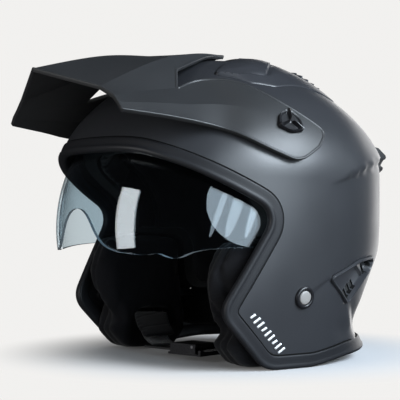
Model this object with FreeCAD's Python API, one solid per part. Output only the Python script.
"""Open face motorcycle helmet with a long peak, a drop-down lens and a chin strap.

The helmet faces -Y and stands on its lower rim: +X is the wearer's left, +Z is up.
The origin is on the floor, under the middle of the head.  Millimetres throughout.
"""

import FreeCAD, Part
import math
import os

Vector = FreeCAD.Vector

# ---- driving dimensions: outer shell -------------------------------------------------
EQUATOR_Z = 145.0        # height where the shell is widest
CROWN_RISE = 98.0        # crown above that height
HALF_WIDTH = 124.0
FRONT_REACH = 129.0
REAR_REACH = 139.0
PLAN_FULLNESS = 0.03     # how much squarer than an ellipse the plan is
SIDE_FULLNESS = -0.034   # how much leaner than an ellipse the upper side view is
SHELL_THICKNESS = 4.0

# Below the equator: height, half width, front reach and rear reach of the closed form.
# The front reach runs out past the face, where the opening cuts it away.
LOWER_FORM = [
    (-20.0, 102.5, 210.0, 129.0),
    (0.0, 108.0, 205.0, 126.5),
    (10.0, 110.0, 200.0, 121.0),
    (28.0, 113.5, 190.0, 108.0),
    (50.0, 117.5, 176.0, 118.5),
    (70.0, 120.3, 162.0, 129.0),
    (88.0, 122.0, 150.0, 138.0),
    (115.0, 123.6, 136.0, 139.0),
    (145.0, 124.0, 129.0, 139.0),
]
COLUMNS = 24             # control columns round the head
ROWS = 17                # control rows from the hem to the crown
FITTING_ROUNDS = 6       # passes that pull each surface onto its points

# Bounds of cutting blocks, all outside the helmet.
FAR = 200.0
FAR_AHEAD = -260.0
FAR_BELOW = -60.0
FAR_ABOVE = 300.0

# ---- driving dimensions: face opening and rim ----------------------------------------
# Side view (y, z) of the opening and the lower rim, with the radius of each corner.
OPENING = [
    (-260.0, 168.0, 0.0),
    (-117.0, 164.5, 30.0),
    (-31.4, 117.3, 14.0),
    (-75.2, 44.1, 16.0),
    (-32.4, 0.0, 25.0),
    (14.0, 0.0, 60.0),
    (52.0, 5.4, 80.0),
    (190.0, 12.0, 0.0),
    (190.0, -80.0, 0.0),
    (-260.0, -80.0, 0.0),
]
TRIM_WIDTH = 11.0        # rubber edge trim, from its lip to its seam
TRIM_LIP = 2.0           # rubber beyond the edge of the shell
TRIM_OUTSIDE = 1.2       # trim thickness outside the shell
TRIM_INSIDE = 1.8        # trim thickness inside the shell

# ---- driving dimensions: linings -----------------------------------------------------
LINER_GAP = 0.4          # impact liner to shell
LINER_SIDE = 30.4
LINER_FRONT = 23.0
LINER_REAR = 30.0
LINER_TOP = 28.0
LINER_INSIDE = (SHELL_THICKNESS + LINER_SIDE, SHELL_THICKNESS + LINER_FRONT,
                SHELL_THICKNESS + LINER_REAR, SHELL_THICKNESS + LINER_TOP)
LINER_SETBACK = 11.5     # foam stays this far behind the helmet's edge
LINER_FOOT = 48.0        # the liner's rear skirt ends here
CHANNEL_XS = (-32.0, 0.0, 32.0)
CHANNEL_WIDTH = 10.0
CHANNEL_DEPTH = 4.0      # air channels in the liner's outer face
CHANNEL_FRONT = -40.0    # they start at this y
COMFORT_THICKNESS = 7.0
SOFT_GAP = 0.4
BROW_PAD_BACK = 34.0     # brow pad's rear edge, behind the helmet's edge
BROW_PAD_FOOT = 104.0    # and the height its ends stop at
CHEEK_TOP = 97.0
CHEEK_BACK = 23.0
CHEEK_INSET = 8.8        # cheek pads lie this far inside the shell's outer face
CHEEK_THICKNESS = 30.0
# Cheek pad in side view (y, z, radius) and in plan (x, y, radius).
CHEEK_OUTLINE = [(-56.0, CHEEK_TOP, 14.0), (CHEEK_BACK, CHEEK_TOP, 10.0),
                 (CHEEK_BACK, 20.0, 26.0), (10.0, 0.3, 16.0), (-42.0, 0.3, 20.0),
                 (-84.0, 43.0, 16.0)]
CHEEK_PLAN = [(140.0, -100.0, 0.0), (98.0, -86.0, 8.0), (64.0, -50.0, 20.0),
              (64.0, 60.0, 0.0), (140.0, 60.0, 0.0)]
STRAP_SLIT = ((20.0, -29.0, 17.0), (150.0, 14.0, 33.5))     # through the cheek pad
NECK_ROLL_OUTLINE = [(25.5, 16.0, 10.0), (25.5, 45.0, 10.0), (150.0, 45.0, 0.0),
                     (150.0, 19.0, 0.0)]
NECK_ROLL_SIDE = 16.0
NECK_ROLL_REAR = 18.0
STUD_PLACES = ((-48.0, 45.0), (-8.0, 78.0), (17.5, 37.0))   # y and z
STUD_RADIUS = 4.0

# ---- driving dimensions: lens and its pivot ------------------------------------------
PIVOT_Y = -12.0
PIVOT_Z = 105.0
LENS_HALF_WIDTH = 113.0
LENS_RADIUS = 119.4
LENS_FULLNESS = 2.1      # exponent of the lens's section
LENS_THICKNESS = 2.2
LENS_LOW_DEG = -47.0
LENS_HIGH_DEG = 34.0
LENS_STATIONS = 16
LENS_TIP_TURN = 0.035    # share of a half turn left off at each end of the section
SLOT_LOW_DEG = -62.0
SLOT_HIGH_DEG = 98.0
SLOT_MARGIN = 3.5
PIN_RADIUS = 4.0
RUNNING_CLEARANCE = 0.1
HUB_RADIUS = 11.0
HUB_X = 112.8            # middle of the lens's hub discs
PLATE_INSIDE = 114.9     # inner face of the lens base plates
PLATE_FRONT = 12.0       # base plate ahead of, behind and above the pivot
PLATE_REAR = 26.0
PLATE_HALF_HEIGHT = 20.0
PIVOT_HEAD_RADIUS = 7.0
# Lower edge in front view (x, z): nose arch in the middle, finger tab on the left.
LENS_EDGE = [(-110.0, 92.0), (-94.0, 90.2), (-75.0, 88.0), (-56.0, 87.6), (-42.0, 89.5),
             (-32.0, 94.5), (-24.0, 103.5), (-16.5, 113.5), (-8.5, 119.3), (0.0, 121.0),
             (8.5, 119.3), (16.5, 113.5), (24.0, 103.5), (32.0, 94.5), (42.0, 89.5),
             (56.0, 87.2), (68.0, 87.0), (74.0, 87.6), (79.0, 84.8), (83.5, 84.6),
             (88.5, 87.6), (95.0, 90.4), (110.0, 92.0)]

# ---- driving dimensions: peak and its screws -----------------------------------------
PEAK_THICKNESS = 2.6
PEAK_GAP = 2.8           # peak wings stand this far off the shell
# Rails of the left half, front to back.  Each also names the way its underside lies.
PEAK_FRONT = [
    ([(0, -169, 226), (0, -135, 234.5), (0, -100, 241), (0, -66, 242.8)], (0, 0, -1)),
    ([(62, -147, 208.5), (55, -122, 219.5), (47, -95, 230.5), (40, -72, 238)], (-0.45, 0, -0.9)),
    ([(69, -145.5, 205), (64, -122, 212.5), (59, -98, 220), (55, -75, 226)], (-0.7, 0, -0.7)),
    ([(76, -144, 201.5), (73, -124, 205), (71, -104, 208), (70, -85, 210.6)], (-0.75, 0, -0.65)),
    ([(82.5, -144, 196), (85, -125, 196.5), (87, -106, 196.7), (89, -88, 196.5)], (-0.8, 0, -0.6)),
    ([(87.4, -143.6, 190.5), (92, -126, 188.5), (96, -109, 186.5), (100, -93, 184)], (-0.85, 0, -0.5)),
]
# The tongue over the crown goes on from the first three rails.
PEAK_TONGUE = [
    [(0, -66, 242.8), (0, -30, 246.4), (0, 5.6, 248.2)],
    [(40, -72, 238), (24, -32, 245), (4, 4.5, 248)],
    [(55, -75, 226), (36, -42, 237.5), (22, -22, 243), (7, 3.5, 247.2)],
]
# The wing beside the temple goes on from the last three: (y, z) on the shell's side.
PEAK_WING = [
    [(-60, 214.5), (-38, 215.5), (-12, 199), (15.5, 183)],
    [(-60, 194), (-38, 191.5), (-14, 182), (3, 170.5)],
    [(-66, 176.5), (-52, 170.5), (-38, 163), (-22, 156)],
]
SCREW_AT = (-15.3, 181.9)     # peak screw, y and z
SCREW_SHAFT_RADIUS = 3.0
SCREW_HOLE_RADIUS = 4.2
SCREW_DEPTH = 7.5
KNOB_CORE_RADIUS = 4.2
KNOB_CORE_HEIGHT = 4.6
KNOB_LEAF_RADIUS = 4.6
KNOB_LEAF_REACH = 5.2
KNOB_LEAF_HEIGHT = 3.4
KNOB_GAP = 0.6           # knob to peak wing
INSERT_RADIUS = 6.0
INSERT_DEPTH = 4.0
SPACER_RADIUS = 7.0
SPACER_HEIGHT = 1.3

# ---- driving dimensions: vents and spoiler -------------------------------------------
SIDE_VENT = [(21.0, 68.0, 3.0), (58.0, 81.0, 5.0), (85.0, 83.5, 4.0), (80.5, 72.0, 8.0),
             (47.0, 46.5, 4.0)]
VENT_RIM = 3.0           # side vent frame overlaps the shell by this much
VENT_HEIGHT = 1.4
VENT_SLITS = 4
VENT_SLIT_WIDTH = 6.0
VENT_SLIT_PITCH = 11.0
VENT_SLIT_LEAN = 20.0    # each slit's top lies this far behind its foot
VENT_SLIT_START = 28.0
TOP_VENT_SLOTS = [(-14.0, 12.0), (14.0, 12.0)]    # x and y of the two air intakes
TOP_VENT_SLOT_HALF = (8.0, 5.0)
CROWN_COVER = [(14, 14, 5), (24, 4, 6), (56, -42, 3), (76, -20, 8), (81, 0, 14), (72, 34, 20),
               (66, 73, 5), (40, 86, 12)]
CROWN_SCOOP = [(13, 18, 4), (31, 6, 5), (36, 30, 10), (26, 60, 5)]
SLIDER_POCKET = [(9, 30, 3), (9, 52, 3)]
SLIDER_PLATE = [(8.6, 30.4, 2.6), (8.6, 43.0, 2.6)]
SLIDER_GROOVES = (35.5, 38.5)
COVER_GAP = 0.2          # cover to shell
COVER_HEIGHT = 3.4
SCOOP_HEIGHT = 7.0
LOUVRE_ROWS = (56.0, 64.0, 72.0)
LOUVRE_HALF_WIDTH = 37.0
LOUVRE_HALF_DEPTH = 1.6
LOUVRE_RISE = 2.5
SPOILER_PROFILE = [(115, 180, 0), (137, 174, 3), (147, 164, 3), (140, 150, 3), (115, 148, 0)]
SPOILER_PLAN = [(56, 100, 0), (56, 141, 5), (30, 152, 20)]
SPOILER_HALF_WIDTH = 56.0
SPOILER_SLOT = ((-40.0, 120.0, 156.0), (40.0, 146.5, 162.0))

# ---- driving dimensions: chin strap and buckle ---------------------------------------
STRAP_AT = (-3.0, 54.3)       # chin strap rivet, y and z
STRAP_WIDTH = 22.0
STRAP_THICKNESS = 1.6
STRAP_GAP = 0.5
STRAP_HEIGHTS = (63.0, 54.3, 42.0, 33.0)      # down the inside of the shell
# Stations of each strap from the cheek pad to the buckle: x, y, z and width direction.
LEFT_RUN = [(100, -2.5, 25, (0, 1, 0)), (88, -4, 23, (-0.1, 1, 0)),
            (72, -10, 21, (-0.35, 0.93, 0)), (57, -20, 15, (-0.45, 0.9, 0)),
            (46, -27.5, 10, (-0.35, 0.93, 0)), (38, -30.5, 8.5, (-0.19, 0.98, 0))]
RIGHT_RUN = [(-100, -2.5, 25, (0, 1, 0)), (-88, -6, 26, (0.25, 0.97, 0)),
             (-76, -14, 29, (0.4, 0.9, 0)), (-62, -24, 28.5, (0.4, 0.9, 0)),
             (-42, -34, 20, (0.2, 0.98, 0)), (-26, -39, 13, (0, 1, 0)),
             (-14, -40.5, 10.8, (-0.19, 0.98, 0))]
PAD_THICKNESS = 5.0      # chin cushion
PAD_OVERHANG = 4.0       # cushion beyond each edge of the strap
PAD_GAP = 1.2            # chin cushion to strap
ANCHOR_THICKNESS = 1.5
ANCHOR_RADIUS = 9.0
RIVET_SHAFT_RADIUS = 2.6
RIVET_FIT = 0.05
RIVET_HEAD_RADIUS = 5.4
RIVET_HEAD_TOP = 1.9
COLLAR_RADIUS = 8.6
BUCKLE_AT = (20.0, -34.0, 5.0)
BUCKLE_TURN_DEG = 11.0
BUCKLE_FLOOR = 1.6
BUCKLE_HALF_LENGTH = 18.0
BUCKLE_HALF_WIDTH = 13.0
CHEEK_PLATE = (10.8, 12.6, 9.0)      # buckle's side plates: inner y, outer y, top
BUCKLE_BAR = (15.6, 4.6)             # strap bar: start x and top
LEVER_LOW = (-17.0, -10.0, 6.6)
LEVER_HIGH = (9.0, 10.0, 8.8)
PAWL_LOW = (-2.5, -8.0, 4.6)
PAWL_HIGH = (1.0, 8.0, 6.8)
LEVER_PIN_X = 8.0
LEVER_PIN_Z = 6.9
LEVER_PIN_RADIUS = 1.2
BARREL_RADIUS = 2.2
TONGUE_LOW = (-52.0, -7.0, 1.9)
TONGUE_HIGH = (13.0, 7.0, 3.4)
TEETH = 8
TOOTH_START = -24.0
TOOTH_PITCH = 3.6
TOOTH_RUN = 3.0
TOOTH_RISE = 0.9

FORM_FACES = {}          # faces of the form already made, by height


# ---- small helpers -------------------------------------------------------------------
def vectors(points):
    return [Vector(*point) for point in points]


def smooth_value(table, column, height):
    """Value of one column of a table at a height, on a smooth curve through its rows."""
    low = 0
    while low < len(table) - 2 and height > table[low + 1][0]:
        low += 1
    before = table[max(low - 1, 0)]
    start = table[low]
    end = table[low + 1]
    after = table[min(low + 2, len(table) - 1)]
    span = end[0] - start[0]
    t = min(max((height - start[0]) / span, 0.0), 1.0)
    slope_start = (end[column] - before[column]) / (end[0] - before[0]) * span
    slope_end = (after[column] - start[column]) / (after[0] - start[0]) * span
    return (
        (2 * t**3 - 3 * t**2 + 1) * start[column]
        + (t**3 - 2 * t**2 + t) * slope_start
        + (3 * t**2 - 2 * t**3) * end[column]
        + (t**3 - t**2) * slope_end
    )


def form_point(around, up, inset):
    """Point of the shell's form.

    around is 0 at the left side, 90 at the rear.  up is 0 at the equator, 90 at the crown.
    inset is (side, front, rear, top), how far inside the outer surface.
    """
    side, front, rear, top = inset
    along_y = math.sin(math.radians(around))
    along_x = math.cos(math.radians(around))
    if up >= 0:
        lean = 1 + SIDE_FULLNESS * math.sin(math.radians(2 * up)) ** 2
        shrink = math.cos(math.radians(up)) * lean
        width = (HALF_WIDTH - side) * shrink
        reach_front = (FRONT_REACH - front) * shrink
        reach_rear = (REAR_REACH - rear) * shrink
        z = EQUATOR_Z + (CROWN_RISE - top) * math.sin(math.radians(up)) * lean
    else:
        z = EQUATOR_Z + math.radians(up) * CROWN_RISE
        width = smooth_value(LOWER_FORM, 1, z) - side
        reach_front = smooth_value(LOWER_FORM, 2, z) - front
        reach_rear = smooth_value(LOWER_FORM, 3, z) - rear
    full = 1 + PLAN_FULLNESS * math.sin(math.radians(2 * around)) ** 2
    reach = reach_rear if along_y > 0 else reach_front
    return Vector(width * along_x * full, reach * along_y * full, z)


def dome_surface(inset):
    """Smooth closed-round surface from the hem to the crown, through points of the form."""
    hem = math.degrees((LOWER_FORM[0][0] - EQUATOR_Z) / CROWN_RISE)
    spans = ROWS - 3
    row_knots = [0] * 4 + list(range(1, spans)) + [spans] * 4
    stations = [sum(row_knots[i + 1:i + 4]) / 3.0 for i in range(ROWS)]
    targets = []
    for column in range(COLUMNS):
        around = 360.0 * column / COLUMNS
        ups = [hem + (90.0 - hem) * station / spans for station in stations]
        targets.append([form_point(around, up, inset) for up in ups])
    poles = [list(line) for line in targets]
    round_knots = list(range(COLUMNS + 1))
    for _ in range(FITTING_ROUNDS):
        surface = Part.BSplineSurface()
        surface.buildFromPolesMultsKnots(
            poles,
            [1] * (COLUMNS + 1),
            [4] + [1] * (spans - 1) + [4],
            round_knots,
            list(range(spans + 1)),
            True,
            False,
            3,
            3,
        )
        start = surface.value(0, 0)
        shift = min(range(COLUMNS), key=lambda c: (targets[c][0] - start).Length)
        for column in range(COLUMNS):
            for row in range(1, ROWS - 1):
                at = surface.value((column - shift) % COLUMNS, stations[row])
                poles[column][row] = poles[column][row] + targets[column][row] - at
    return surface


def dome(inset=0.0):
    """Closed solid inside the form: one inset all round, or (side, front, rear, top)."""
    if not isinstance(inset, tuple):
        inset = (inset, inset, inset, inset)
    skin_face = dome_surface(inset).toShape()
    hem_edges = [e for e in skin_face.Edges if e.BoundBox.ZMax < LOWER_FORM[0][0] + 0.5]
    hem_face = Part.Face(Part.Wire(hem_edges))
    return closed_solid([skin_face, hem_face])


def closed_solid(faces):
    """One solid from faces that meet along their edges."""
    sewn = Part.Compound(faces)
    sewn.sewShape()
    solid = Part.Solid(sewn.Shells[0])
    if solid.Volume < 0:
        solid.reverse()
    return solid


def rounded_wire(corners, place):
    """Closed wire from (a, b, radius) corners, each corner an arc, put in space by place."""
    count = len(corners)
    ends = []
    for i, (a, b, radius) in enumerate(corners):
        here = place(a, b)
        if radius == 0:
            ends.append((here, None, here))
            continue
        back = place(*corners[i - 1][:2]) - here
        ahead = place(*corners[(i + 1) % count][:2]) - here
        half_turn = back.getAngle(ahead) / 2
        back.normalize()
        ahead.normalize()
        reach = radius / math.tan(half_turn)
        inward = back + ahead
        inward.normalize()
        middle = here + inward * (radius / math.sin(half_turn) - radius)
        ends.append((here + back * reach, middle, here + ahead * reach))
    edges = []
    for i, (start, middle, end) in enumerate(ends):
        if middle is not None:
            edges.append(Part.Arc(start, middle, end).toShape())
        following = ends[(i + 1) % count][0]
        if (following - end).Length > 1e-6:
            edges.append(Part.makeLine(end, following))
    return Part.Wire(edges)


def prism(wire, way, length, grow=0.0):
    """Block from a flat closed wire, its outline grown by a distance first."""
    if grow:
        wire = wire.makeOffset2D(grow)
    return Part.Face(wire).extrude(Vector(*way) * length)


def side_prism(corners, low_x=-FAR, high_x=FAR, grow=0.0):
    """Block running across the helmet, from a side-view outline of (y, z, radius)."""
    wire = rounded_wire(corners, lambda y, z: Vector(low_x, y, z))
    return prism(wire, (1, 0, 0), high_x - low_x, grow)


def top_prism(corners, low_z=EQUATOR_Z, high_z=FAR_ABOVE):
    """Upright block from a plan outline of (x, y, radius)."""
    wire = rounded_wire(corners, lambda x, y: Vector(x, y, low_z))
    return prism(wire, (0, 0, 1), high_z - low_z)


def opening(grow):
    """Everything ahead of and below the helmet's edge, grown towards the shell."""
    return side_prism(OPENING, grow=grow)


def layer(outer, inner):
    """Hollow layer between two insets of the form."""
    return dome(outer).cut(dome(inner))


def mirrored(shape):
    return shape.mirror(Vector(0, 0, 0), Vector(1, 0, 0))


def box(low, high):
    """Axis-aligned block from two opposite corners."""
    size = [high[i] - low[i] for i in range(3)]
    return Part.makeBox(*size, Vector(*low))


def rod(centre, axis, radius, low, high):
    """Cylinder along an axis through centre, from distance low to distance high."""
    way = Vector(*axis).normalize()
    return Part.makeCylinder(radius, high - low, Vector(*centre) + way * low, way)


def rail(points):
    """Smooth edge through points, or a straight one through two."""
    if len(points) == 2:
        return Part.makeLine(*vectors(points))
    spline = Part.BSplineCurve()
    spline.interpolate(vectors(points))
    return spline.toShape()


def skin(outer_rails, inner_rails):
    """Solid between two sets of rails that run side by side, point against point."""
    faces = []
    for rails in (outer_rails, inner_rails):
        for left, right in zip(rails, rails[1:]):
            faces.append(Part.makeRuledSurface(rail(left), rail(right)))
    for i in (0, -1):
        faces.append(Part.makeRuledSurface(rail(outer_rails[i]), rail(inner_rails[i])))
        for k in range(len(outer_rails) - 1):
            outer_edge = rail([outer_rails[k][i], outer_rails[k + 1][i]])
            inner_edge = rail([inner_rails[k][i], inner_rails[k + 1][i]])
            faces.append(Part.makeRuledSurface(outer_edge, inner_edge))
    return closed_solid(faces)


def moved(points, way, distance):
    """Points shifted along a direction."""
    step = Vector(*way).normalize() * distance
    return [(x + step.x, y + step.y, z + step.z) for x, y, z in points]


def shell_hit(start, end, height):
    """Where a line meets the form's surface a height outside the shell, with its normal."""
    skin_face = form_face(height)
    line = Part.makeLine(Vector(*start), Vector(*end))
    hit = line.distToShape(skin_face)[1][0][1]
    u, v = skin_face.Surface.parameter(hit)
    way = skin_face.normalAt(u, v)
    if way.dot(hit - Vector(0, 0, EQUATOR_Z)) < 0:
        way = way * -1
    return hit, way


def form_face(height):
    """Face of the form grown by a height, kept for reuse."""
    if height not in FORM_FACES:
        FORM_FACES[height] = dome_surface((-height,) * 4).toShape()
    return FORM_FACES[height]


def beside(y, z, height=0.0):
    """Point (x, y, z) on the left of the form grown by a height."""
    hit, _ = shell_hit((0, y, z), (FAR, y, z), height)
    return (hit.x, hit.y, hit.z)


def side_axis(at):
    """Point on the left of the shell at (y, z) and the outward direction there."""
    y, z = at
    hit, way = shell_hit((0, y, z), (FAR, y, z), 0.0)
    return (hit.x, hit.y, hit.z), (way.x, way.y, way.z)


def both_sides(shape):
    """The left piece and its mirror image."""
    return [shape, mirrored(shape)]


def cut_both_sides(shape, cutter):
    """Shape less a cutter on the left and its mirror image."""
    for piece in both_sides(cutter):
        shape = shape.cut(piece)
    return shape


def largest(shape):
    return max(shape.Solids, key=lambda solid: solid.Volume)


# ---- shell, trim and linings ---------------------------------------------------------
def outer_shell():
    """Moulded shell with its screw, rivet, side vent and crown vent holes."""
    shell = layer(0.0, SHELL_THICKNESS).cut(opening(TRIM_LIP))
    shell = cut_both_sides(shell, side_rod(SCREW_AT, SCREW_SHAFT_RADIUS + RUNNING_CLEARANCE))
    shell = cut_both_sides(shell, side_rod(STRAP_AT, RIVET_SHAFT_RADIUS + RIVET_FIT))
    shell = cut_both_sides(shell, side_prism(SIDE_VENT, 60.0, FAR, grow=-VENT_RIM))
    half_x, half_y = TOP_VENT_SLOT_HALF
    for x, y in TOP_VENT_SLOTS:
        slot = box((x - half_x, y - half_y, EQUATOR_Z), (x + half_x, y + half_y, FAR_ABOVE))
        shell = shell.cut(slot)
    return shell


def side_rod(at, radius, low=-30.0, high=30.0):
    """Round bar square to the shell's left side at (y, z)."""
    centre, way = side_axis(at)
    return rod(centre, way, radius, low, high)


def edge_trim(shell):
    """Rubber channel that wraps the shell's whole edge, face opening and rim."""
    band = opening(TRIM_WIDTH).cut(opening(0.0))
    body = layer(-TRIM_OUTSIDE, SHELL_THICKNESS + TRIM_INSIDE).common(band)
    return body.cut(shell)


def lens_space():
    """Room for the lens between the shell and the impact liner, over its whole swing."""
    sweep = lens_sector(-SLOT_MARGIN, None, SLOT_LOW_DEG, SLOT_HIGH_DEG)
    hubs = rod((0, PIVOT_Y, PIVOT_Z), (1, 0, 0), HUB_RADIUS + 3, -FAR, FAR)
    inside = PLATE_INSIDE - 8
    return sweep.fuse(hubs.cut(box((-inside, -FAR, 0), (inside, FAR, FAR_ABOVE))))


def lens_sector(grow_inner, grow_outer, low_deg, high_deg):
    """Solid of revolution about the pivot between two growths of the lens's section."""
    inner = lens_section(grow_inner)
    start, end = inner[0], inner[-1]
    if grow_outer is None:
        far = LENS_RADIUS + 60
        wide = LENS_HALF_WIDTH + 40
        outline = [start, (wide, start[1]), (wide, far), (-wide, far), (-wide, end[1]), end]
        outer_edges = [rail([lens_xyz(a), lens_xyz(b)]) for a, b in zip(outline, outline[1:])]
    else:
        outer = lens_section(grow_outer)
        outer_edges = [
            rail([lens_xyz(start), lens_xyz(outer[0])]),
            rail([lens_xyz(p) for p in outer]),
            rail([lens_xyz(outer[-1]), lens_xyz(end)]),
        ]
    wire = Part.Wire(Part.__sortEdges__([rail([lens_xyz(p) for p in inner])] + outer_edges))
    face = Part.Face(wire)
    axis = Vector(-1, 0, 0)
    face.rotate(Vector(0, PIVOT_Y, PIVOT_Z), axis, low_deg)
    return face.revolve(Vector(0, PIVOT_Y, PIVOT_Z), axis, high_deg - low_deg)


def lens_section(grow):
    """Section of the lens in the plane of its axis: points (x, distance from the axis)."""
    width = LENS_HALF_WIDTH + grow
    radius = LENS_RADIUS + grow
    power = 2 / LENS_FULLNESS
    points = []
    for i in range(LENS_STATIONS + 1):
        angle = math.pi * (LENS_TIP_TURN + (1 - 2 * LENS_TIP_TURN) * i / LENS_STATIONS)
        x = width * math.copysign(abs(math.cos(angle)) ** power, math.cos(angle))
        points.append((x, radius * math.sin(angle) ** power))
    return points


def lens_xyz(point):
    x, distance = point
    return (x, PIVOT_Y - distance, PIVOT_Z)


def below_liner(gap):
    """Everything below the liner's skirt, and below the top of the cheek pads ahead of it."""
    top = CHEEK_TOP + gap
    back = CHEEK_BACK + gap
    foot = LINER_FOOT + gap
    return side_prism([(FAR_AHEAD, top, 0), (back, top, 12), (back, foot, 12), (FAR, foot, 0),
                       (FAR, FAR_BELOW, 0), (FAR_AHEAD, FAR_BELOW, 0)])


def impact_liner():
    """Foam liner with the lens slot, air channels and a skirt over the nape."""
    liner = layer(SHELL_THICKNESS + LINER_GAP, LINER_INSIDE).cut(opening(LINER_SETBACK))
    liner = liner.cut(below_liner(3.0)).cut(lens_space())
    channel_floor = dome(SHELL_THICKNESS + LINER_GAP + CHANNEL_DEPTH)
    for x in CHANNEL_XS:
        half = CHANNEL_WIDTH / 2
        channel = box((x - half, CHANNEL_FRONT, EQUATOR_Z), (x + half, FAR, FAR_ABOVE))
        liner = liner.cut(channel.cut(channel_floor))
    liner = cut_both_sides(liner, lens_plate_block(0.4))
    vent_room = side_prism(SIDE_VENT, 40.0, FAR, grow=1.5).cut(dome(SHELL_THICKNESS + 1.0))
    liner = cut_both_sides(liner, vent_room)
    insert_depth = SHELL_THICKNESS + INSERT_DEPTH + 1.0
    liner = cut_both_sides(liner, side_rod(SCREW_AT, INSERT_RADIUS + 0.8, -insert_depth, 0))
    return largest(liner)


def comfort_layer():
    """Soft lining over the whole inside of the impact liner."""
    outer = tuple(value + SOFT_GAP for value in LINER_INSIDE)
    inner = tuple(value + COMFORT_THICKNESS for value in outer)
    return layer(outer, inner)


def crown_liner():
    """Washable comfort liner over the crown and back of the head."""
    pad = comfort_layer().cut(opening(BROW_PAD_BACK + 1.0))
    return largest(pad.cut(below_liner(6.0)))


def brow_pad():
    """Padded band along the brow, ahead of the crown liner."""
    pad = comfort_layer().cut(opening(LINER_SETBACK)).common(opening(BROW_PAD_BACK))
    below = box((-FAR, FAR_AHEAD, FAR_BELOW), (FAR, FAR, BROW_PAD_FOOT))
    return largest(pad.cut(below))


def cheek_pad():
    """Left cheek pad: a thick soft block between the shell and the cheek."""
    inner = (CHEEK_INSET + CHEEK_THICKNESS, CHEEK_INSET, CHEEK_INSET, CHEEK_INSET)
    pad = layer(CHEEK_INSET, inner).common(side_prism(CHEEK_OUTLINE, 20.0, FAR))
    pad = pad.common(top_prism(CHEEK_PLAN, FAR_BELOW, FAR_ABOVE))
    pad = pad.cut(box(*STRAP_SLIT)).cut(lens_space())
    return largest(pad)


def neck_roll():
    """Padded roll round the nape, inside the rear rim."""
    inner = (CHEEK_INSET + NECK_ROLL_SIDE, CHEEK_INSET, CHEEK_INSET + NECK_ROLL_REAR, CHEEK_INSET)
    return largest(layer(CHEEK_INSET, inner).common(side_prism(NECK_ROLL_OUTLINE)))


# ---- lens and pivots -----------------------------------------------------------------
def sun_lens():
    """Drop-down lens: a thin bowl about its pivots, with a nose arch and a finger tab."""
    half = LENS_THICKNESS / 2
    lens = lens_sector(-half, half, LENS_LOW_DEG, LENS_HIGH_DEG)
    lens = lens.cut(below_lens_edge())
    pivot = (0, PIVOT_Y, PIVOT_Z)
    hub = rod(pivot, (1, 0, 0), HUB_RADIUS, HUB_X - half, HUB_X + half)
    lens = lens.fuse(both_sides(hub))
    lens = lens.cut(rod(pivot, (1, 0, 0), PIN_RADIUS + RUNNING_CLEARANCE, -FAR, FAR))
    return largest(lens.removeSplitter())


def below_lens_edge():
    """Everything under the lens's lower edge, ahead of the pivots."""
    edge = [(x, -FAR, z) for x, z in LENS_EDGE]
    foot = 20.0
    corners = [edge[-1], (FAR, -FAR, edge[-1][2]), (FAR, -FAR, foot), (-FAR, -FAR, foot),
               (-FAR, -FAR, edge[0][2]), edge[0]]
    sides = [rail([start, end]) for start, end in zip(corners, corners[1:])]
    outline = Part.Wire(Part.__sortEdges__([rail(edge)] + sides))
    return Part.Face(outline).extrude(Vector(0, FAR - HUB_RADIUS + PIVOT_Y - 2, 0))


def lens_plate_block(grow):
    """Block the left base plate is cut from, grown by a distance."""
    low = (PLATE_INSIDE - grow, PIVOT_Y - PLATE_FRONT - grow, PIVOT_Z - PLATE_HALF_HEIGHT - grow)
    high = (FAR, PIVOT_Y + PLATE_REAR + grow, PIVOT_Z + PLATE_HALF_HEIGHT + grow)
    return box(low, high)


def lens_plate():
    """Left base plate, moulded to the inside of the shell, that carries a pivot pin."""
    plate = lens_plate_block(0.0).common(dome(SHELL_THICKNESS + 0.3))
    return plate.cut(rod((0, PIVOT_Y, PIVOT_Z), (1, 0, 0), PIN_RADIUS, 0, FAR))


def pivot_screws():
    """Two shoulder screws, one in each base plate, that the lens swings on."""
    centre = (0, PIVOT_Y, PIVOT_Z)
    top = HUB_X - 3.6
    shaft = rod(centre, (1, 0, 0), PIN_RADIUS, top + 0.6, PLATE_INSIDE + 2.2)
    head = rod(centre, (1, 0, 0), PIVOT_HEAD_RADIUS, top, top + 2.0)
    slot = box((top - 1, PIVOT_Y - 5, PIVOT_Z - 0.7), (top + 0.8, PIVOT_Y + 5, PIVOT_Z + 0.7))
    return Part.Compound(both_sides(shaft.fuse(head).cut(slot).removeSplitter()))


# ---- peak ----------------------------------------------------------------------------

def peak():
    """Long faceted peak: a roof, side facets, a tongue over the crown and two wings."""
    half = peak_front().fuse([peak_tongue(), peak_wing()])
    whole = half.fuse(mirrored(half)).removeSplitter()
    return largest(cut_both_sides(whole, side_rod(SCREW_AT, SCREW_HOLE_RADIUS, 0, 12)))


def peak_front():
    outer = [points for points, _ in PEAK_FRONT]
    inner = [moved(points, way, PEAK_THICKNESS) for points, way in PEAK_FRONT]
    return skin(outer, inner)


def peak_tongue():
    ways = [way for _, way in PEAK_FRONT[:3]]
    inner = [moved(points, way, PEAK_THICKNESS) for points, way in zip(PEAK_TONGUE, ways)]
    return skin(PEAK_TONGUE, inner)


def peak_wing():
    outer = []
    inner = []
    for (front, way), side_view in zip(PEAK_FRONT[3:], PEAK_WING):
        joint = front[-1]
        under = moved([joint], way, PEAK_THICKNESS)[0]
        outer.append([joint] + [beside(y, z, PEAK_GAP + PEAK_THICKNESS) for y, z in side_view])
        inner.append([under] + [beside(y, z, PEAK_GAP) for y, z in side_view])
    return skin(outer, inner)


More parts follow.
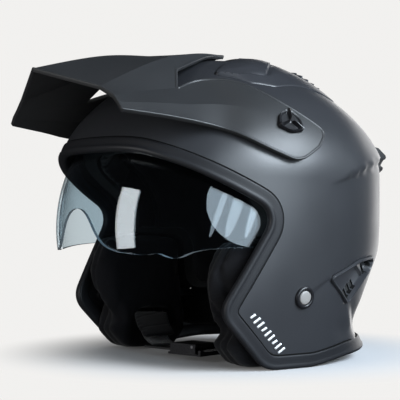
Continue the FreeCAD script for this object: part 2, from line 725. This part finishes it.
def screw_knob():
    """Left peak screw: a shaft into the shell under a three-leaved hand knob."""
    centre, way = side_axis(SCREW_AT)
    base = PEAK_GAP + PEAK_THICKNESS + KNOB_GAP
    knob = rod(centre, way, KNOB_CORE_RADIUS, base, base + KNOB_CORE_HEIGHT)
    across = Vector(*way).cross(Vector(0, 0, 1))
    across.normalize()
    turn = FreeCAD.Rotation(Vector(*way), 120)
    for _ in range(3):
        middle = Vector(*centre) + across * KNOB_LEAF_REACH
        leaf_centre = (middle.x, middle.y, middle.z)
        knob = knob.fuse(rod(leaf_centre, way, KNOB_LEAF_RADIUS, base, base + KNOB_LEAF_HEIGHT))
        across = turn.multVec(across)
    shaft = rod(centre, way, SCREW_SHAFT_RADIUS, -SCREW_DEPTH, base + 1)
    return shaft.fuse(knob).removeSplitter()


def ring(at, outer_radius, inner_radius, low, high):
    """Ring round a side axis, from one height above the shell to another."""
    body = side_rod(at, outer_radius, low, high)
    return body.cut(side_rod(at, inner_radius, low - 1, high + 1))


def peak_spacers():
    """Rubber washers between the shell and the wings."""
    spacer = ring(SCREW_AT, SPACER_RADIUS, SCREW_SHAFT_RADIUS + 0.3, 0.15, SPACER_HEIGHT)
    return Part.Compound(both_sides(spacer))


def screw_inserts():
    """Threaded inserts behind the shell for the peak screws."""
    insert = ring(SCREW_AT, INSERT_RADIUS, SCREW_SHAFT_RADIUS + RUNNING_CLEARANCE,
                  -SHELL_THICKNESS - INSERT_DEPTH, -SHELL_THICKNESS - 0.2)
    return Part.Compound(both_sides(insert))


# ---- vents and spoiler ---------------------------------------------------------------
def whole_outline(half):
    """Plan outline from its left half, listed front to back."""
    return half + [(-x, y, radius) for x, y, radius in reversed(half)]


def crown_layer(height, floor, half_outline):
    """Layer over the crown between two heights above the shell, inside a plan outline."""
    return layer(-height, -floor).common(top_prism(whole_outline(half_outline)))


def bar_across(half_width, y, half_depth):
    """Upright block across the crown at y."""
    return box((-half_width, y - half_depth, EQUATOR_Z), (half_width, y + half_depth, FAR_ABOVE))


def top_vent_cover():
    """Bat-shaped cover over the crown intakes, with a raised scoop and a slider pocket."""
    cover = crown_layer(COVER_HEIGHT, COVER_GAP, CROWN_COVER)
    cover = cover.fuse(crown_layer(SCOOP_HEIGHT, COVER_GAP, CROWN_SCOOP))
    cover = cover.cut(top_prism(whole_outline(SLIDER_POCKET)).cut(dome(-1.6)))
    slit_floor = dome(-1.4)
    for y in LOUVRE_ROWS:
        slit = bar_across(LOUVRE_HALF_WIDTH + 1, y, LOUVRE_HALF_DEPTH + 0.6)
        cover = cover.cut(slit.cut(slit_floor))
    scoop_roof = dome(-SCOOP_HEIGHT + 2)
    for x, y in TOP_VENT_SLOTS:
        duct = box((x - 7, y - 9, EQUATOR_Z), (x + 7, y + 4, FAR_ABOVE))
        cover = cover.cut(duct.common(scoop_roof))
    return largest(cover.removeSplitter())


def top_vent_slider():
    """Sliding shutter in the scoop's pocket, with a ridged thumb pad."""
    plate = crown_layer(SCOOP_HEIGHT - 0.8, 2.0, SLIDER_PLATE)
    groove_floor = dome(-SCOOP_HEIGHT + 1.8)
    for y in SLIDER_GROOVES:
        plate = plate.cut(bar_across(6, y, 0.6).cut(groove_floor))
    return largest(plate)


def top_vent_louvre():
    """Three raised slats across the rear of the crown cover."""
    band = layer(-COVER_HEIGHT - LOUVRE_RISE, -1.6)
    slats = [band.common(bar_across(LOUVRE_HALF_WIDTH, y, LOUVRE_HALF_DEPTH)) for y in LOUVRE_ROWS]
    return Part.Compound([largest(slat) for slat in slats])


def rear_spoiler():
    """Exhaust spoiler across the back of the head, with an outlet slot."""
    block = side_prism(SPOILER_PROFILE, -SPOILER_HALF_WIDTH, SPOILER_HALF_WIDTH)
    body = block.common(top_prism(whole_outline(SPOILER_PLAN), 0, FAR_ABOVE)).cut(dome(-0.2))
    return largest(body.cut(box(*SPOILER_SLOT).cut(dome(-1.2))))


def side_vent():
    """Left rear exhaust: a three-cornered frame let into the shell, with slats."""
    plug = side_prism(SIDE_VENT, 60.0, FAR, grow=-VENT_RIM - 0.2)
    window = side_prism(SIDE_VENT, 60.0, FAR, grow=-VENT_RIM - 2.0)
    rim = layer(-VENT_HEIGHT, -0.1).common(side_prism(SIDE_VENT, 60.0, FAR))
    tube = layer(-VENT_HEIGHT, SHELL_THICKNESS - 0.4).common(plug)
    slats = layer(-0.4, SHELL_THICKNESS - 1.4).common(window)
    low = 40.0
    high = 90.0
    for k in range(VENT_SLITS):
        start = VENT_SLIT_START + VENT_SLIT_PITCH * k
        end = start + VENT_SLIT_WIDTH
        slats = slats.cut(side_prism([(start, low, 0), (end, low, 0), (end + VENT_SLIT_LEAN, high, 0),
                                      (start + VENT_SLIT_LEAN, high, 0)], 60.0, FAR))
    return largest(rim.fuse(tube).cut(window).fuse(slats).removeSplitter())


# ---- chin strap ----------------------------------------------------------------------
def webbing(path, width, thickness, lift=0.0):
    """Flat strap along (x, y, z, width direction) stations, lifted off its own path."""
    left, right, left_under, right_under = [], [], [], []
    for i, (x, y, z, across) in enumerate(path):
        here = Vector(x, y, z)
        back = Vector(*path[max(i - 1, 0)][:3])
        ahead = Vector(*path[min(i + 1, len(path) - 1)][:3])
        side = Vector(*across).normalize()
        normal = (ahead - back).cross(side).normalize()
        here = here + normal * lift
        for points, offset in ((left, side), (right, side * -1)):
            corner = here + offset * (width / 2)
            points.append((corner.x, corner.y, corner.z))
            under = corner + normal * thickness
            (left_under if points is left else right_under).append((under.x, under.y, under.z))
    return skin([left, right], [left_under, right_under])


def strap_start():
    """Stations of the left strap down the inside of the shell to the pad's slit."""
    y = STRAP_AT[0]
    inside = SHELL_THICKNESS + ANCHOR_THICKNESS + STRAP_THICKNESS + STRAP_GAP
    return [(beside(y, z, -inside)[0], y, z, (0, 1, 0)) for z in STRAP_HEIGHTS]


def turned_over(path):
    """The same stations with the strap's faces changed over."""
    return [(x, y, z, tuple(-value for value in across)) for x, y, z, across in path]


def chin_strap_left():
    return webbing(strap_start() + LEFT_RUN, STRAP_WIDTH, STRAP_THICKNESS)


def chin_strap_right():
    start = [(-x, y, z, across) for x, y, z, across in strap_start()]
    return webbing(turned_over(start + RIGHT_RUN), STRAP_WIDTH, STRAP_THICKNESS)


def strap_pad():
    """Padded chin cushion that lies on the right strap."""
    width = STRAP_WIDTH + 2 * PAD_OVERHANG
    return webbing(turned_over(RIGHT_RUN[3:6]), width, -PAD_THICKNESS, lift=-PAD_GAP)


def placed(shape):
    """Put a buckle piece, drawn along X about its own middle, where the straps meet."""
    shape = shape.copy()
    shape.rotate(Vector(0, 0, 0), Vector(0, 0, 1), BUCKLE_TURN_DEG)
    shape.translate(Vector(*BUCKLE_AT))
    return shape


def lever_axis_rod(radius, half_length):
    """Bar along the lever's pivot."""
    return rod((LEVER_PIN_X, 0, LEVER_PIN_Z), (0, 1, 0), radius, -half_length, half_length)


def buckle_body():
    """Channel of the quick-adjust buckle."""
    length = BUCKLE_HALF_LENGTH
    width = BUCKLE_HALF_WIDTH
    inner, outer, top = CHEEK_PLATE
    bar_start, bar_top = BUCKLE_BAR
    body = box((-length, -width, 0), (length, width, BUCKLE_FLOOR))
    body = body.fuse(box((2 - length, inner, 0), (length - 6, outer, top)))
    body = body.fuse(box((2 - length, -outer, 0), (length - 6, -inner, top)))
    body = body.fuse(box((bar_start, -width, BUCKLE_FLOOR), (length, width, bar_top)))
    return placed(body.cut(lever_axis_rod(LEVER_PIN_RADIUS, 20)).removeSplitter())


def buckle_lever():
    """Sprung release lever with a pawl that holds the toothed strap."""
    barrel = lever_axis_rod(BARREL_RADIUS, LEVER_HIGH[1])
    lever = box(LEVER_LOW, LEVER_HIGH).fuse([barrel, box(PAWL_LOW, PAWL_HIGH)])
    bore = lever_axis_rod(LEVER_PIN_RADIUS + RUNNING_CLEARANCE, 20)
    return placed(lever.cut(bore).removeSplitter())


def buckle_pin():
    return placed(lever_axis_rod(LEVER_PIN_RADIUS, CHEEK_PLATE[1]))


def ratchet_tongue():
    """Toothed strip on the right strap, pushed into the buckle under its pawl."""
    tongue = box(TONGUE_LOW, TONGUE_HIGH)
    side = TONGUE_LOW[1]
    top = TONGUE_HIGH[2]
    for k in range(TEETH):
        x = TOOTH_START + TOOTH_PITCH * k
        corners = [(x, side, top), (x + TOOTH_RUN, side, top), (x + TOOTH_RUN, side, top + TOOTH_RISE)]
        profile = Part.makePolygon(vectors(corners + corners[:1]))
        tongue = tongue.fuse(Part.Face(profile).extrude(Vector(0, -2 * side, 0)))
    return placed(tongue.removeSplitter())


def strap_rivets():
    """Flat rivet heads with shanks through the shell and the anchor plates."""
    head = side_rod(STRAP_AT, RIVET_HEAD_RADIUS, 0.3, RIVET_HEAD_TOP)
    shank_foot = SHELL_THICKNESS + ANCHOR_THICKNESS + 0.2
    shank = side_rod(STRAP_AT, RIVET_SHAFT_RADIUS, -shank_foot, 0.5)
    return Part.Compound(both_sides(head.fuse(shank).removeSplitter()))


def rivet_rings():
    """Black collars round the rivet heads."""
    collar = ring(STRAP_AT, COLLAR_RADIUS, RIVET_HEAD_RADIUS + 0.2, 0.2, RIVET_HEAD_TOP + 0.2)
    return Part.Compound(both_sides(collar))


def anchor_plates():
    """Steel plates that spread the strap's pull inside the shell."""
    low = -SHELL_THICKNESS - ANCHOR_THICKNESS - 0.2
    plate = ring(STRAP_AT, ANCHOR_RADIUS, RIVET_SHAFT_RADIUS + RIVET_FIT, low, -SHELL_THICKNESS - 0.3)
    return Part.Compound(both_sides(plate.cut(layer(0.0, SHELL_THICKNESS))))


def pad_studs():
    """Press studs that hold the cheek pads, three behind each."""
    studs = []
    for at in STUD_PLACES:
        studs += both_sides(side_rod(at, STUD_RADIUS, -CHEEK_INSET + 0.3, -SHELL_THICKNESS - 0.6))
    return Part.Compound(studs)


# ---- assembly ------------------------------------------------------------------------
def write_parts():
    shell = outer_shell()
    cheek = cheek_pad()
    knob = screw_knob()
    plate = lens_plate()
    vent = side_vent()
    nodes = {
        "outer_shell": shell,
        "edge_trim": edge_trim(shell),
        "impact_liner": impact_liner(),
        "crown_liner": crown_liner(),
        "brow_pad": brow_pad(),
        "cheek_pad_left": cheek,
        "cheek_pad_right": mirrored(cheek),
        "neck_roll": neck_roll(),
        "pad_studs": pad_studs(),
        "sun_lens": sun_lens(),
        "lens_plate_left": plate,
        "lens_plate_right": mirrored(plate),
        "lens_pivot_screws": pivot_screws(),
        "peak": peak(),
        "peak_screw_left": knob,
        "peak_screw_right": mirrored(knob),
        "peak_spacers": peak_spacers(),
        "screw_inserts": screw_inserts(),
        "top_vent_cover": top_vent_cover(),
        "top_vent_slider": top_vent_slider(),
        "top_vent_louvre": top_vent_louvre(),
        "rear_spoiler": rear_spoiler(),
        "side_vent_left": vent,
        "side_vent_right": mirrored(vent),
        "chin_strap_left": chin_strap_left(),
        "chin_strap_right": chin_strap_right(),
        "strap_pad": strap_pad(),
        "buckle_body": buckle_body(),
        "buckle_lever": buckle_lever(),
        "buckle_pin": buckle_pin(),
        "ratchet_tongue": ratchet_tongue(),
        "strap_rivets": strap_rivets(),
        "rivet_rings": rivet_rings(),
        "anchor_plates": anchor_plates(),
    }
    os.makedirs("parts", exist_ok=True)
    for name, shape in nodes.items():
        shape.exportStep("parts/" + name + ".step")
        low = shape.BoundBox
        print(f"{name:20s} {shape.isValid()} solids {len(shape.Solids)} "
              f"{shape.Volume / 1000:9.2f} cm3  x {low.XMin:.1f} {low.XMax:.1f}  "
              f"y {low.YMin:.1f} {low.YMax:.1f}  z {low.ZMin:.1f} {low.ZMax:.1f}")


write_parts()
